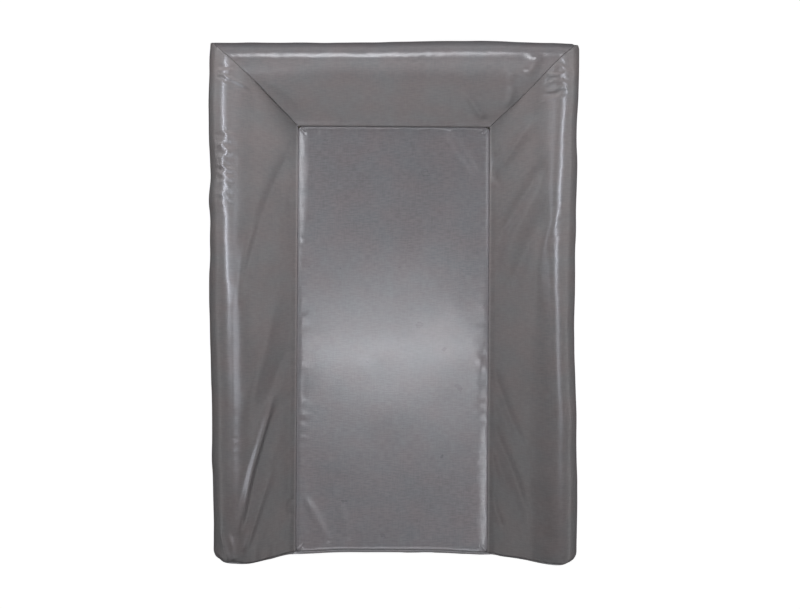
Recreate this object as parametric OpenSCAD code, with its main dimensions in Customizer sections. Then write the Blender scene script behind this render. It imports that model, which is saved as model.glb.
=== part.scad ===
// Contoured changing pad: a soft pad with three raised wedge sides (left, right
// and head), a flat padded lying panel and an open foot end.
// A coated-fabric cover is sewn from six panels around loose foam pieces.
// Frame: origin at the middle of the underside, +Z up, +Y to the head end,
// +X to the right of someone looking from the foot end. Millimetres.

/* [Overall] */
// Width over the two raised sides
pad_w = 500; // [460:5:560]
// Length from foot end to head end
pad_l = 700; // [640:5:800]
// Height of the raised sides at the ridge
ridge_h = 92; // [84:1:104]

/* [Lying panel] */
// Width of the flat lying panel, seam to seam
centre_w = 266; // [240:1:280]
// Distance from the head end to the head seam of the lying panel
head_d = 111; // [104:1:124]
// Height of the lying surface
centre_h = 30; // [28:1:34]
// Height of the seam around the lying panel
seam_h = 24; // [22:1:25]
// Radius of the puffed edge of the lying panel
edge_r = 6; // [4:0.5:6]

/* [Raised sides] */
// Radius of the ridge where the slope turns over into the outer wall
ridge_r = 30; // [24:1:34]
// How far the outer wall leans in at the floor
wall_lean = 3; // [1:0.5:4]

/* [Cover] */
// Thickness of the coated fabric
cover_t = 0.8; // [0.6:0.1:1]
// Depth of the seam allowance hanging inside the cover
allowance = 7; // [5:0.5:7]

/* [Filling] */
// Thickness of the full-size foam slab
base_foam_t = 15; // [12:1:16]
// Thickness of the fibre layer under the lying panel
wadding_t = 3.5; // [3:0.5:4]
// Clearance between the fillings and the seams
seam_room = 1.4; // [1.2:0.1:2]

/* [Thread] */
// Thickness of the sewing thread
thread_d = 0.7; // [0.6:0.1:0.8]

/* [Hidden] */
$fn = 24;
gap = 0.05;                         // hairline gap between sewn pieces

// Plan
half_centre = centre_w / 2;
half_w = pad_w / 2;
half_l = pad_l / 2;
side_d = half_w - half_centre;      // plan depth of the left and right sides
head_y = half_l - head_d;           // head seam of the lying panel
mitre_slope = head_d / side_d;      // rise in Y per X along the right mitre

// Heights
wall_z = cover_t + gap;             // where the walls stand on the underside panel
allowance_z = seam_h - allowance;   // lower edge of the seam allowance
foam_z = base_foam_t + gap;         // underside of the upper foam pieces
wadding_z = centre_h - cover_t - gap - wadding_t;
ridge_z = ridge_h - ridge_r;        // centre of the ridge arc

// Curves
ridge_steps = 10;
wall_steps = 4;
edge_steps = 5;
min_edge_r = 2;                     // least radius of an inset puffed edge

// Distances in from the outer face
fill_in = cover_t + seam_room;      // to a filling
thread_r = thread_d / 2;
thread_in = cover_t + thread_r + 2 * gap;  // to the middle of a thread
thread_foot_y = -half_l + thread_in;

// Room left at the ends of the thread runs
joint_stop = 0.4;                   // where runs meet along a curve
corner_stop = 1;                    // at a square corner
foot_stop = 2;                      // side runs of the centre seam, at the foot
foot_run_stop = 3;                  // foot run of the centre seam, inside the cover
mitre_start = 8;                    // mitre thread, out from the inner seam
foot_start = 6;                     // foot seam thread, out from the inner seam
wall_stop = 8;                      // above the foot of the wall
base_thread_lift = 2;               // base seam thread, above the foot of the wall

// Overshoot of shapes that are trimmed by an intersection or a difference
over = 5;
plan_over = 20;
plan_h = ridge_h + 10;
side_end_y = half_l + 30;

cover_col = "#706c6d";
foam_col = "#e9e2c8";
wadding_col = "#f4f4f2";
thread_col = "#5d595a";

// ---- section of a raised side ------------------------------------------
// Points are [out, z], with out running from the inner seam (0) to the outer
// edge (depth). The section is a straight slope, a round ridge and a wall that
// leans in towards the floor. Each line can be inset from the outer face.

// Angle of the slope: the tangent from the seam to the ridge circle.
function slope_angle(depth) =
    let (run = depth - ridge_r, rise = ridge_z - seam_h)
    atan2(rise, run) + asin(ridge_r / norm([run, rise]));

function slope_z(depth, inset, out) =
    let (angle = slope_angle(depth))
    seam_h - inset * cos(angle) + (out - inset * sin(angle)) * tan(angle);

// Ridge arc from the end of the slope to the top of the wall.
function ridge_points(depth, inset) =
    let (start = slope_angle(depth) + 90, centre = [depth - ridge_r, ridge_z])
    [for (k = [0 : ridge_steps])
        let (angle = start * (1 - k / ridge_steps))
        centre + (ridge_r - inset) * [cos(angle), sin(angle)]];

// Wall from below the ridge down to end_z, leaning in as a parabola.
function wall_points(depth, inset, end_z) =
    [for (k = [1 : wall_steps])
        let (
            z = ridge_z + (end_z - ridge_z) * k / wall_steps,
            drop = (ridge_z - z) / ridge_z
        )
        [depth - inset - wall_lean * drop * drop, z]];

// Outline from the slope at start, over the ridge and down the wall to end_z.
function side_line(depth, inset, start, end_z) =
    concat(
        [[start, slope_z(depth, inset, start)]],
        ridge_points(depth, inset),
        wall_points(depth, inset, end_z)
    );

function reversed(points) = [for (k = [len(points) - 1 : -1 : 0]) points[k]];

// Section of a cover panel, with its seam allowance at the inner seam.
module panel_section(depth) {
    inner = gap + cover_t;
    polygon(concat(
        [[gap, allowance_z]],
        side_line(depth, 0, gap, wall_z),
        reversed(side_line(depth, cover_t, inner, wall_z)),
        [[inner, allowance_z]]
    ));
}

// Section of a foam wedge that fills the space inside the panel.
module foam_section(depth) {
    polygon(concat([[fill_in, foam_z]], side_line(depth, fill_in, fill_in, foam_z)));
}

// ---- placing -------------------------------------------------------------
module mirrored_x() { mirror([1, 0, 0]) children(); }

// A section standing in XZ, pushed along Y from y1 to y2.
module along_y(y1, y2) {
    translate([0, y2, 0]) rotate([90, 0, 0]) linear_extrude(height = y2 - y1) children();
}

// A section pushed along the right side from y1, cut off at the mitre with
// the given room to it.
module right_side(y1, room) {
    intersection() {
        translate([half_centre, 0, 0]) along_y(y1, side_end_y) children();
        linear_extrude(height = plan_h)
            polygon([
                [half_centre, -half_l - over],
                [half_w + plan_over, -half_l - over],
                [half_w + plan_over, head_y + (side_d + plan_over) * mitre_slope - room],
                [half_centre, head_y - room]
            ]);
    }
}

// A section turned to rise towards +Y, pushed along X and cut off at both
// mitres with the given room to them.
module head_side(room) {
    inner_x = half_centre - room;
    outer_x = half_centre + (head_d + plan_over) / mitre_slope - room;
    outer_y = half_l + plan_over;
    intersection() {
        translate([0, head_y, 0]) rotate([0, 0, 90])
            along_y(-half_w - over, half_w + over) children();
        linear_extrude(height = plan_h)
            polygon([
                [-inner_x, head_y], [inner_x, head_y],
                [outer_x, outer_y], [-outer_x, outer_y]
            ]);
    }
}

// ---- lying panel ---------------------------------------------------------
// Section from low to high with rounded top corners, from bottom_z upwards.
module puffed_section(low, high, top_z, bottom_z, radius) {
    arc = [for (k = [0 : edge_steps])
        let (angle = k * 90 / edge_steps)
        [radius - radius * cos(angle), top_z - radius + radius * sin(angle)]];
    polygon(concat(
        [[low, bottom_z]],
        [for (p = arc) [low + p[0], p[1]]],
        [for (p = reversed(arc)) [high - p[0], p[1]]],
        [[high, bottom_z]]
    ));
}

// Block whose four top edges are rounded, inset from the panel's faces.
module puffed_block(inset, bottom_z) {
    radius = edge_r - min(inset, edge_r - min_edge_r);
    side_in = gap + inset;
    x = half_centre - side_in;
    top_z = centre_h - inset;
    intersection() {
        along_y(-half_l - over, half_l + over)
            puffed_section(-x, x, top_z, bottom_z, radius);
        rotate([0, 0, 90]) along_y(-half_w, half_w)
            puffed_section(-half_l + side_in, head_y - side_in, top_z, bottom_z, radius);
    }
}

// Hollow and open underneath.
module centre_panel() {
    color(cover_col) difference() {
        puffed_block(0, allowance_z);
        puffed_block(cover_t, allowance_z - over);
    }
}

// ---- other cover panels --------------------------------------------------
module side_panel_shape() {
    right_side(-half_l + cover_t + gap, gap) panel_section(side_d);
}

module right_side_panel() { color(cover_col) side_panel_shape(); }
module left_side_panel() { color(cover_col) mirrored_x() side_panel_shape(); }
module head_panel() { color(cover_col) head_side(gap) panel_section(head_d); }

// End wall with the outline wedge, flat, wedge. Its flat part stops just below
// the seam allowance of the lying panel.
module foot_end_panel() {
    right = [for (p = side_line(side_d, 0, gap, wall_z)) [half_centre + p[0], p[1]]];
    flat_z = allowance_z - gap;
    color(cover_col) along_y(-half_l, -half_l + cover_t)
        polygon(concat(
            [[half_centre, flat_z]],
            right,
            reversed([for (p = right) [-p[0], p[1]]]),
            [[-half_centre, flat_z]]
        ));
}

module underside_panel() {
    x = half_w - wall_lean;
    color(cover_col) translate([-x, -half_l, 0])
        cube([2 * x, pad_l - wall_lean, cover_t]);
}

// ---- fillings ------------------------------------------------------------
// Foam slab centred on X, from the foot wall to end_y.
module foam_slab(x, end_y, bottom_z, top_z) {
    foot_y = -half_l + fill_in;
    color(foam_col) translate([-x, foot_y, bottom_z])
        cube([2 * x, end_y - foot_y, top_z - bottom_z]);
}

module base_foam() {
    inset = wall_lean + fill_in;
    foam_slab(half_w - inset, half_l - inset, wall_z, base_foam_t);
}

module centre_foam() {
    foam_slab(half_centre - fill_in, head_y - fill_in, foam_z, wadding_z - gap);
}

// Top layer of the space inside the lying panel.
module centre_wadding() {
    color(wadding_col) intersection() {
        puffed_block(cover_t + gap, base_foam_t);
        translate([-half_w, -half_l, wadding_z]) cube([pad_w, pad_l, plan_over]);
    }
}

module side_wedge_shape() {
    right_side(-half_l + fill_in, seam_room) foam_section(side_d);
}

module right_wedge_foam() { color(foam_col) side_wedge_shape(); }
module left_wedge_foam() { color(foam_col) mirrored_x() side_wedge_shape(); }
module head_wedge_foam() { color(foam_col) head_side(seam_room) foam_section(head_d); }

// ---- threads -------------------------------------------------------------
// A round thread run between two points.
module run_between(start, end) {
    reach = end - start;
    length = norm(reach);
    translate(start)
        rotate([0, acos(reach[2] / length), atan2(reach[1], reach[0])])
            cylinder(r = thread_r, h = length);
}

// Thread runs along a line of points, each stopped short of the next.
module runs(points) {
    for (k = [0 : len(points) - 2]) {
        reach = points[k + 1] - points[k];
        stop = joint_stop * reach / norm(reach);
        run_between(points[k] + stop, points[k + 1] - stop);
    }
}

// Run along Y at x.
module run_y(x, y1, y2, z) { run_between([x, y1, z], [x, y2, z]); }

// Run along X from -x to x.
module run_x(x, y, z) { run_between([-x, y, z], [x, y, z]); }

// Two thread runs around three sides of the lying panel, one on each side of
// the seam, and one along the foot edge.
module centre_seam_thread() {
    z = seam_h - allowance / 2;
    color(thread_col) {
        for (side = [-1, 1]) {
            x = half_centre + side * thread_in;
            y = head_y + side * thread_in;
            for (end_x = [x, -x])
                run_y(end_x, thread_foot_y + foot_stop, y - corner_stop, z);
            run_x(x - corner_stop, y, z);
        }
        run_x(half_centre - cover_t - foot_run_stop, thread_foot_y, z);
    }
}

// Runs under the mitre from near the lying panel's corner, over the ridge and
// down the corner of the walls.
module mitre_runs() {
    runs([for (p = side_line(side_d, thread_in, mitre_start, wall_z + wall_stop))
        [half_centre + p[0], head_y + p[0] * mitre_slope, p[1]]]);
}

module right_mitre_thread() { color(thread_col) mitre_runs(); }
module left_mitre_thread() { color(thread_col) mirrored_x() mitre_runs(); }

// Runs behind the end wall, over both wedge ends.
module foot_seam_thread() {
    points = [for (p = side_line(side_d, thread_in, foot_start, wall_z + wall_stop))
        [half_centre + p[0], thread_foot_y, p[1]]];
    color(thread_col) {
        runs(points);
        mirrored_x() runs(points);
    }
}

// Runs inside the bottom edge, where the underside panel is sewn to the walls.
module base_seam_thread() {
    x = half_w - wall_lean - thread_in;
    thread_head_y = half_l - wall_lean - thread_in;
    z = wall_z + thread_r + base_thread_lift;
    color(thread_col) {
        for (end_x = [-x, x])
            run_y(end_x, thread_foot_y + corner_stop, thread_head_y - corner_stop, z);
        for (y = [thread_foot_y, thread_head_y]) run_x(x - corner_stop, y, z);
    }
}

centre_panel();
head_panel();
left_side_panel();
right_side_panel();
foot_end_panel();
underside_panel();
base_foam();
centre_foam();
centre_wadding();
head_wedge_foam();
left_wedge_foam();
right_wedge_foam();
centre_seam_thread();
left_mitre_thread();
right_mitre_thread();
foot_seam_thread();
base_seam_thread();
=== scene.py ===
"""Contoured changing pad: cover sheets, seam stitches and fillings, on a floor under studio lamps.

The pad lies on the floor with x across it, y along it and z up. A flat lying panel runs down the
middle, between raised sides at -x (left) and +x (right). A third raised side closes the head end
at +y; the foot end at -y is open. Shapes are worked out in millimetres and written in metres.
Shaders, lamps and the camera are in metres.
"""

import math

import bpy
import numpy as np
from mathutils import Matrix, Vector
from mathutils.bvhtree import BVHTree


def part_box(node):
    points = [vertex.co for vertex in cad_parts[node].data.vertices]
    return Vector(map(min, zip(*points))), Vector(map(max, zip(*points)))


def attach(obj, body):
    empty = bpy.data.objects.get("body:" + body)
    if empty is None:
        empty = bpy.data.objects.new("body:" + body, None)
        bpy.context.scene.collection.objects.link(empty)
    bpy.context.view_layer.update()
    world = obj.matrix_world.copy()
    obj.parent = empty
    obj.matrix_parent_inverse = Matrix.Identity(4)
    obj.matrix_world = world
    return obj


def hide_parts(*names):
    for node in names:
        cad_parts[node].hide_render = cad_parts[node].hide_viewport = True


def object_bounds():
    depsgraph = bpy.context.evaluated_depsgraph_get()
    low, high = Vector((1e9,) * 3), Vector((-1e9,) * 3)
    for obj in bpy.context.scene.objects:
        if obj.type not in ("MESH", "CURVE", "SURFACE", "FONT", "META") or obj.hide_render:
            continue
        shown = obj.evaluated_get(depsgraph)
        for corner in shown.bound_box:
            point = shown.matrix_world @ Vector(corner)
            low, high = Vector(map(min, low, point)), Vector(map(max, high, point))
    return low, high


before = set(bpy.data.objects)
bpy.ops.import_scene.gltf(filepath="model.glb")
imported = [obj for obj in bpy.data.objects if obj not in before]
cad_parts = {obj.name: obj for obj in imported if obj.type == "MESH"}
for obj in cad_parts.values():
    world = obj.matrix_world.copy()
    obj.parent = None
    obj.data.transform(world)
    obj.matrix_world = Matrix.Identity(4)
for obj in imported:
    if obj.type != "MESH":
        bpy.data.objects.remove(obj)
CAD_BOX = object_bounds()

# ---------------------------------------------------------------- sizes
MM = 1000.0                                   # millimetres in a metre
centre_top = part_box("centre_panel")[1]
HALF_PANEL = round(centre_top.x * 1000, 2)    # half width of the lying panel
HEAD_SEAM_Y = round(centre_top.y * 1000, 2)   # its head seam
PANEL_TOP = round(centre_top.z * 1000, 2)     # its height
HALF_WIDTH = round(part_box("foot_end_panel")[1].x * 1000, 2)
HALF_LENGTH = round(CAD_BOX[1].y * 1000, 2)
RIDGE_Z = round(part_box("head_panel")[1].z * 1000, 2)
SIDE_DEPTH = HALF_WIDTH - HALF_PANEL          # plan depth of a raised side
HEAD_DEPTH = HALF_LENGTH - HEAD_SEAM_Y
MITRE = HEAD_DEPTH / SIDE_DEPTH               # slope of the mitre seams in plan
SEAM_Z = PANEL_TOP - 6.0                      # height of the seam round the lying panel
FOOT_Y = -HALF_LENGTH
FOOT_SEAM_Y = FOOT_Y + 2.0
FABRIC = 0.8                                  # cloth thickness

FOOT_ROLL, MITRE_ROLL = 2.6, 0.8              # radii of the cloth's rolls into the seams
SEAM_DEPTH = 5.0                              # how far the cloth goes on below a roll
ROLL_STEPS = 4
SEAM_LINES = ROLL_STEPS + 2                   # grid lines that make one seam
MITRE_STRETCH = 1.35                          # the mitre rolls are this much longer than round
HEAD_CORNER = {True: 6.0, False: 11.0}        # plan radii of the corners; True is the left side
FOOT_CORNER = {True: 12.0, False: 11.0}

PANEL_X = HALF_PANEL + 0.25                   # edges of the lying panel's sheet
PANEL_FOOT, PANEL_HEAD = FOOT_Y + 2.6, HEAD_SEAM_Y + 0.25


# ---------------------------------------------------------------- numbers
def smooth(x, start, end):
    """Rises softly from 0 at start to 1 at end."""
    share = np.clip((np.asarray(x, float) - start) / (end - start), 0.0, 1.0)
    return share * share * (3 - 2 * share)


def bump(x, centre, width):
    """A bell of height 1."""
    return np.exp(-(((np.asarray(x, float) - centre) / width) ** 2))


def noise(x, y, seed):
    """Smooth value noise with unit cells, about -1 to 1."""
    size = 64
    lattice = np.random.RandomState(seed).uniform(-1, 1, (size, size))
    x, y = np.broadcast_arrays(np.asarray(x, float), np.asarray(y, float))
    cell_x, cell_y = np.floor(x).astype(int), np.floor(y).astype(int)

    def ease(t):
        return t * t * t * (t * (t * 6 - 15) + 10)

    def corner(i, j):
        return lattice[(cell_x + i) % size, (cell_y + j) % size]

    across, along = ease(x - cell_x), ease(y - cell_y)
    near = corner(0, 0) + (corner(1, 0) - corner(0, 0)) * across
    far = corner(0, 1) + (corner(1, 1) - corner(0, 1)) * across
    return near * (1 - along) + far * along


def fractal(x, y, seed, octaves=3):
    total, height, frequency = 0.0, 1.0, 1.0
    for k in range(octaves):
        total = total + height * noise(x * frequency + 17.3 * k, y * frequency - 9.1 * k, seed + k)
        height *= 0.5
        frequency *= 2.03
    return total


def between(t, start, end, first, last):
    """The straight blend that is first at t = start and last at t = end."""
    return (end - t) / (end - start) * first + (t - start) / (end - start) * last


def spline(points, per_span=24):
    """Centripetal Catmull-Rom curve through the points, densely sampled."""
    points = np.array(points, float)
    points = np.vstack([2 * points[0] - points[1], points, 2 * points[-1] - points[-2]])
    curve = []
    for k in range(1, len(points) - 2):
        near = points[k - 1:k + 3]
        knots = [0.0]
        for start, end in zip(near, near[1:]):
            knots.append(knots[-1] + math.sqrt(np.linalg.norm(end - start)) + 1e-9)
        t = np.linspace(knots[1], knots[2], per_span, endpoint=False)[:, None]
        lines = [between(t, knots[i], knots[i + 1], near[i], near[i + 1]) for i in range(3)]
        bends = [between(t, knots[i], knots[i + 2], lines[i], lines[i + 1]) for i in range(2)]
        curve.append(between(t, knots[1], knots[2], *bends))
    curve.append(points[-2][None])
    return np.vstack(curve)


def arc_of(points):
    """Distance along a polyline at each of its points."""
    return np.concatenate([[0], np.cumsum(np.linalg.norm(np.diff(points, axis=0), axis=1))])


def graded(length, step, zones):
    """Positions 0..length, about step apart, closer in zones [(centre, width, step)]."""
    x = np.linspace(0, length, 2000)
    size = np.full_like(x, step)
    for centre, width, fine in zones:
        away = smooth(np.abs(x - centre), width * 0.5, width * 1.6)
        size = np.minimum(size, fine + (step - fine) * away)
    cells = np.concatenate([[0], np.cumsum(0.5 * (1 / size[1:] + 1 / size[:-1]) * np.diff(x))])
    count = int(round(cells[-1]))
    return np.interp(np.linspace(0, cells[-1], count + 1), cells, x)


def fine_ends(length, step, width, fine):
    """Positions 0..length, about step apart, and fine apart within width of both ends."""
    return graded(length, step, [(0, width, fine), (length, width, fine)])


def quarter_roll(radius):
    """Steps round a quarter circle: (distance from the edge, depth below the sheet)."""
    angles = [(k + 0.5) / ROLL_STEPS * math.pi / 2 for k in range(ROLL_STEPS)]
    return [(radius * (1 - math.cos(a)), radius * (1 - math.sin(a))) for a in angles]


def seam_lines(radius):
    """Lines that roll a sheet into a seam: (distance from the seam, depth below the sheet)."""
    return [(0.0, radius + SEAM_DEPTH), (0.0, radius + SEAM_DEPTH * 0.45)] + quarter_roll(radius)


def side_sign(left):
    return -1 if left else 1


# ---------------------------------------------------------------- section of a raised side
# (offset from the inner seam, z) for a side 117 deep and 92 high: up out of the seam, up the
# padded slope, over the ridge, down the bulging wall and into the bottom seam.
DRAWN_DEPTH, DRAWN_HEIGHT = 117.0, 92.0
SECTION = [
    (0.35, SEAM_Z - 8), (0.30, SEAM_Z - 4), (0.31, SEAM_Z + 2.6), (1.4, SEAM_Z + 4.1),
    (7.0, SEAM_Z + 7.8), (20.0, 44.4), (40.0, 64.0), (52.0, 75.4), (62.0, 83.3), (70.5, 88.2),
    (78.0, 91.1), (84.5, 92.0), (93.0, 90.6), (102.5, 85.4), (110.6, 75.6), (115.8, 62.5),
    (117.2, 48.0), (116.9, 33.0), (116.2, 20.0), (115.4, 11.0), (114.2, 6.6), (111.8, 4.6),
    (108.4, 4.2), (104.0, 4.2),
]
section = spline(SECTION)
section[:, 0] *= SIDE_DEPTH / DRAWN_DEPTH
section[:, 1] = np.where(
    section[:, 1] > SEAM_Z,
    SEAM_Z + (section[:, 1] - SEAM_Z) * (RIDGE_Z - SEAM_Z) / (DRAWN_HEIGHT - SEAM_Z),
    section[:, 1],
)
section_arc = arc_of(section)
tangent = np.gradient(section, axis=0)
tangent /= np.linalg.norm(tangent, axis=1)[:, None]
section_normal = np.stack([-tangent[:, 1], tangent[:, 0]], 1)


def section_at(arc):
    """Offset, height and unit normal (along the offset, up) at positions along the section."""
    columns = (*section.T, *section_normal.T)
    offset, height, normal_u, normal_z = (np.interp(arc, section_arc, c) for c in columns)
    length = np.hypot(normal_u, normal_z)
    return offset, height, normal_u / length, normal_z / length


def arc_at(offset):
    """Position along the section of a plan offset, before it turns down the wall."""
    limit = int(np.argmax(section[:, 0]))
    return float(np.interp(offset, section[:limit, 0], section_arc[:limit]))


SECTION_END = section_arc[-1]
RIDGE_ARC = float(section_arc[int(np.argmax(section[:, 1]))])
SLOPE_ARC = arc_at(6.0)                       # where the slope begins
SECTION_LINES = graded(SECTION_END, 3.2, [
    (8.5, 5.0, 0.9), (SECTION_END - 13.0, 7.0, 1.0), (RIDGE_ARC + 4, 26.0, 1.9)])


# ---------------------------------------------------------------- meshes
def add_object(name, data):
    obj = bpy.data.objects.new(name, data)
    bpy.context.scene.collection.objects.link(obj)
    return obj


def write_points(mesh, points):
    """Sets a mesh's vertices from points in mm."""
    mesh.vertices.foreach_set("co", (points.reshape(-1, 3) / MM).ravel())


def read_vectors(items, key):
    values = np.empty(len(items) * 3)
    items.foreach_get(key, values)
    return values.reshape(-1, 3)


def shade_smooth(mesh):
    mesh.polygons.foreach_set("use_smooth", np.ones(len(mesh.polygons), bool))


def sheet(name, points, cloth_uv):
    """A mesh from a grid of points in mm; cloth_uv in mm along the cloth."""
    rows, columns = points.shape[:2]
    mesh = bpy.data.meshes.new(name)
    index = np.arange(rows * columns).reshape(rows, columns)
    quads = np.stack([index[:-1, :-1], index[1:, :-1], index[1:, 1:], index[:-1, 1:]], -1)
    quads = quads.reshape(-1, 4)
    mesh.vertices.add(rows * columns)
    write_points(mesh, points)
    mesh.loops.add(len(quads) * 4)
    mesh.loops.foreach_set("vertex_index", quads.ravel())
    mesh.polygons.add(len(quads))
    mesh.polygons.foreach_set("loop_start", np.arange(len(quads)) * 4)
    shade_smooth(mesh)
    mesh.update(calc_edges=True)
    layer = mesh.uv_layers.new(name="cloth")
    layer.data.foreach_set("uv", (cloth_uv.reshape(-1, 2)[quads.ravel()] / MM).ravel())
    mesh.validate()
    return add_object(name, mesh)


def grid_normals(points):
    normals = np.cross(np.gradient(points, axis=0), np.gradient(points, axis=1))
    normals /= np.linalg.norm(normals, axis=2)[..., None] + 1e-12
    return normals


class Cover:
    """A cover sheet: its object, its grid of points and which way its grid normals point."""

    def __init__(self, name, points, cloth_uv, outward):
        self.points = points
        self.obj = sheet(name, points, cloth_uv)
        rows, columns = (slice(n // 3, n // 2) for n in points.shape[:2])
        facing = (grid_normals(points)[rows, columns] * np.array(outward)).sum()
        self.grid_sign = 1.0 if facing > 0 else -1.0      # +1: out of the pad
        mesh = self.obj.data
        normals = read_vectors(mesh.polygons, "normal")
        normals = normals[len(normals) // 3:len(normals) // 2]
        if (normals * np.array(outward)).sum() < 0:
            mesh.flip_normals()


# ---------------------------------------------------------------- folds
def path_distance(x, y, path):
    """Distance of every point from a path, the side it lies on and its place along it, 0..1."""
    path = np.array(path, float)
    if len(path) > 2:
        path = spline(path, 8)
    lengths = np.linalg.norm(np.diff(path, axis=0), axis=1)
    total = lengths.sum()
    best = np.full(x.shape, 1e9)
    side = np.zeros(x.shape)
    along = np.zeros(x.shape)
    done = 0.0
    for start, end, length in zip(path, path[1:], lengths):
        way = (end - start) / length
        from_x, from_y = x - start[0], y - start[1]
        t = np.clip(from_x * way[0] + from_y * way[1], 0, length)
        distance = np.hypot(from_x - t * way[0], from_y - t * way[1])
        nearer = distance < best
        best = np.where(nearer, distance, best)
        side = np.where(nearer, np.sign(way[0] * from_y - way[1] * from_x), side)
        along = np.where(nearer, (done + t) / total, along)
        done += length
    return best, side, along


def fold(x, y, path, height, width, taper, skew=0.0):
    """A crest along a path, fading over its taper shares; skew sinks a valley on one side."""
    distance, side, along = path_distance(x, y, path)
    fade = smooth(along, 0, taper[0] + 1e-6) * (1 - smooth(along, 1 - taper[1] - 1e-6, 1))
    signed = distance * side
    crest = height * np.exp(-((signed / width) ** 2))
    if skew:
        valley = (signed - math.copysign(1.9, skew) * width) / (1.25 * width)
        crest = crest - abs(height) * abs(skew) * np.exp(-(valley ** 2))
    return crest * fade


def drag_folds(x, y, rows):
    """The sum of folds from rows (path, height, width, taper, optional skew)."""
    total = np.zeros_like(x)
    for path, *shape in rows:
        total = total + fold(x, y, path, *shape)
    return total


def panel_folds(arc, along, rows):
    """Drag folds of a raised side, whose paths are (offset, place along the side)."""
    on_cloth = [([(arc_at(u), v) for u, v in path], *shape) for path, *shape in rows]
    return drag_folds(arc, along, on_cloth)


# Drag folds of the raised sides: path of (offset from the inner seam, y), height, width,
# (taper at the start, taper at the end), skew. A negative height is a hollow.
LEFT_FOLDS = [
    ([(6, 214), (30, 146), (52, 74), (73, -10)], -2.4, 11.0, (0.2, 0.3)),
    ([(44, 118), (63, 56), (80, -24)], 1.9, 7.0, (0.35, 0.3)),
    ([(18, 30), (40, -60), (72, -176)], 1.8, 12.0, (0.35, 0.35)),
    ([(12, -60), (28, -110), (40, -150)], -0.9, 9.0, (0.4, 0.4)),
    ([(28, -124), (44, -182), (58, -232), (80, -322)], 4.0, 5.2, (0.25, 0.3), -0.5),
    ([(16, -128), (36, -195), (50, -245), (60, -290)], -1.6, 8.5, (0.3, 0.35)),
    ([(28, -228), (46, -278), (68, -338)], 1.3, 4.6, (0.35, 0.1)),
    ([(3, -272), (9, -290), (3, -306)], -1.4, 3.0, (0.3, 0.3)),
    ([(90, 294), (74, 286), (54, 276)], 1.2, 1.9, (0.15, 0.4), 0.6),
    ([(99, 303), (88, 301), (76, 302)], 1.1, 1.8, (0.2, 0.3), -0.6),
    ([(98, 296), (90, 294), (84, 295)], 1.0, 1.6, (0.2, 0.3), 0.6),
    ([(92, -306), (84, -330), (82, -346)], 1.4, 3.6, (0.4, 0.1)),
    ([(104, -300), (98, -326), (90, -346)], 1.2, 3.8, (0.4, 0.1)),
    ([(20, 180), (16, 120), (13, 60)], 0.8, 8.0, (0.4, 0.4)),
]
RIGHT_FOLDS = [
    ([(14, 208), (6, 196), (4, 180), (8, 166), (15, 156)], -1.8, 4.0, (0.25, 0.25)),
    ([(56, 246), (30, 206), (8, 172)], 1.9, 8.0, (0.3, 0.25)),
    ([(72, 190), (46, 146), (30, 116), (6, 72)], -2.2, 9.5, (0.25, 0.3)),
    ([(66, 158), (40, 104), (20, 60), (8, 34)], 1.3, 9.0, (0.3, 0.35)),
    ([(78, 140), (53, 84), (36, 40), (17, -6)], -2.0, 11.0, (0.25, 0.35)),
    ([(84, 116), (70, 72), (62, 30), (66, -20)], 1.2, 8.0, (0.3, 0.35)),
    ([(4, -90), (16, -130), (28, -166), (46, -206)], -1.2, 7.0, (0.2, 0.35)),
    ([(6, -118), (20, -160), (34, -196)], 0.7, 6.0, (0.25, 0.4)),
    ([(5, -166), (20, -210), (34, -248), (54, -312)], -1.3, 7.0, (0.2, 0.35)),
    ([(4, -196), (18, -238), (30, -276)], 0.8, 6.0, (0.2, 0.4)),
    ([(2, -262), (10, -292), (22, -320)], -1.2, 6.0, (0.2, 0.3)),
    ([(60, -230), (66, -280), (70, -330)], -1.0, 9.0, (0.4, 0.2)),
    ([(66, 303), (76, 297), (93, 300)], 1.2, 1.7, (0.2, 0.25), 0.6),
    ([(66, 285), (76, 290), (88, 286), (95, 280)], 1.3, 1.7, (0.15, 0.2), 0.7),
    ([(62, 277), (74, 276), (86, 279), (93, 272)], 1.3, 1.7, (0.15, 0.2), -0.7),
    ([(58, 262), (72, 266), (88, 264)], 0.8, 2.2, (0.25, 0.25), 0.5),
    ([(84, 312), (90, 304), (97, 300)], 1.0, 1.8, (0.2, 0.2)),
]
# The same columns for the head side, with x in place of y.
HEAD_FOLDS = [
    ([(50, 90), (38, 100), (9, 126)], 2.4, 5.0, (0.4, 0.2)),
    ([(72, 150), (62, 154), (40, 157), (22, 150)], 2.0, 5.0, (0.3, 0.4)),
    ([(90, 190), (78, 184), (62, 174)], 3.8, 6.5, (0.3, 0.3)),
    ([(64, 160), (54, 156), (48, 152)], -1.0, 6.0, (0.4, 0.3)),
    ([(20, -118), (44, -150), (62, -176)], 0.9, 9.0, (0.3, 0.4)),
]
# The same columns for the lying panel, with paths of (x, y).
CENTRE_FOLDS = [
    ([(72, 236), (92, 206), (108, 184), (122, 160)], 1.35, 6.0, (0.1, 0.4)),
    ([(54, 234), (62, 204), (70, 172)], 0.95, 6.0, (0.1, 0.45)),
    ([(-124, -270), (-104, -304), (-84, -338)], 1.45, 5.5, (0.3, 0.1)),
    ([(-72, -280), (-64, -310), (-58, -334)], 0.85, 5.0, (0.4, 0.1)),
    ([(112, 84), (92, 24), (66, -48)], 0.6, 12.0, (0.4, 0.4)),
]


def inner_gathers(arc, along, coarse, fine):
    """Gathers beside the inner seam; coarse and fine are (height, noise row, seed)."""
    near = bump(arc, arc_at(2.5), 9.0) * smooth(arc, arc_at(0.9), arc_at(7.0))
    total = 0.0
    for pitch, (height, row, seed) in ((9.5, coarse), (5.1, fine)):
        total = total + height * near * noise(along / pitch, row, seed)
    return total


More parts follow.
